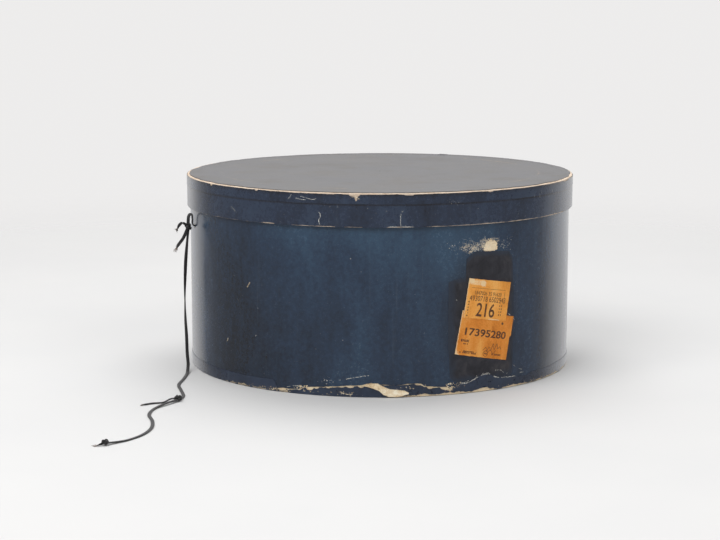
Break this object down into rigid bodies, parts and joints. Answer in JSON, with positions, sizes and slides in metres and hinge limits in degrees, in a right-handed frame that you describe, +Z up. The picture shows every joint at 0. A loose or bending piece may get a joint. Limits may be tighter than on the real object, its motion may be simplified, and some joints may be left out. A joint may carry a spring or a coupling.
{
  "type": "hat box",
  "caption": "Round paper-covered strawboard hat box with a lift-off lid, luggage labels on the wall and a flat carrying cord knotted through a hole.",
  "frame": {"origin": "centre of the underside, where the box stands", "axes": "+Z up; the two cord holes lie on the X axis, with the corded hole on -X; the labelled front looks along -Y"},
  "size_m": [0.5437, 0.4992, 0.1971],
  "materials": {
    "strawboard": "raw, fibrous, matt",
    "wall_paper": "glazed dark navy, blotchy with age",
    "lid_paper": "glazed near-black navy",
    "edge_paper": "glazed navy strip, worn through at the edges",
    "base_paper": "dull navy, scuffed",
    "lining_paper": "matt, yellowed",
    "old_glue": "dull dark residue",
    "label_paper": "matt orange-tan with dark print",
    "cord_braid": "flat braided lace, dull black"
  },
  "bodies": {
    "box": {"wall_board": "strawboard", "base_board": "strawboard", "wall_cover": "wall_paper", "base_edge_strip": "edge_paper", "base_cover": "base_paper", "wall_lining": "lining_paper", "base_lining": "lining_paper", "inner_corner_strip": "lining_paper", "rim_binding": "edge_paper", "label_residue": "old_glue", "label_lower": "label_paper", "label_upper": "label_paper", "carry_cord": "cord_braid", "hole_knot": "cord_braid", "stop_knot": "cord_braid", "join_knot": "cord_braid", "end_knot": "cord_braid"},
    "lid": {"lid_board": "strawboard", "lid_rim_board": "strawboard", "lid_rim_cover": "lid_paper", "lid_edge_strip": "edge_paper", "lid_top_cover": "lid_paper", "lid_lining": "lining_paper", "lid_rim_lining": "lining_paper"}
  },
  "joints": [
    {"name": "lid_lift", "type": "slide", "parent": "box", "child": "lid", "axis": [0, 0, 1], "range_m": [0, 0.22]}
  ]
}
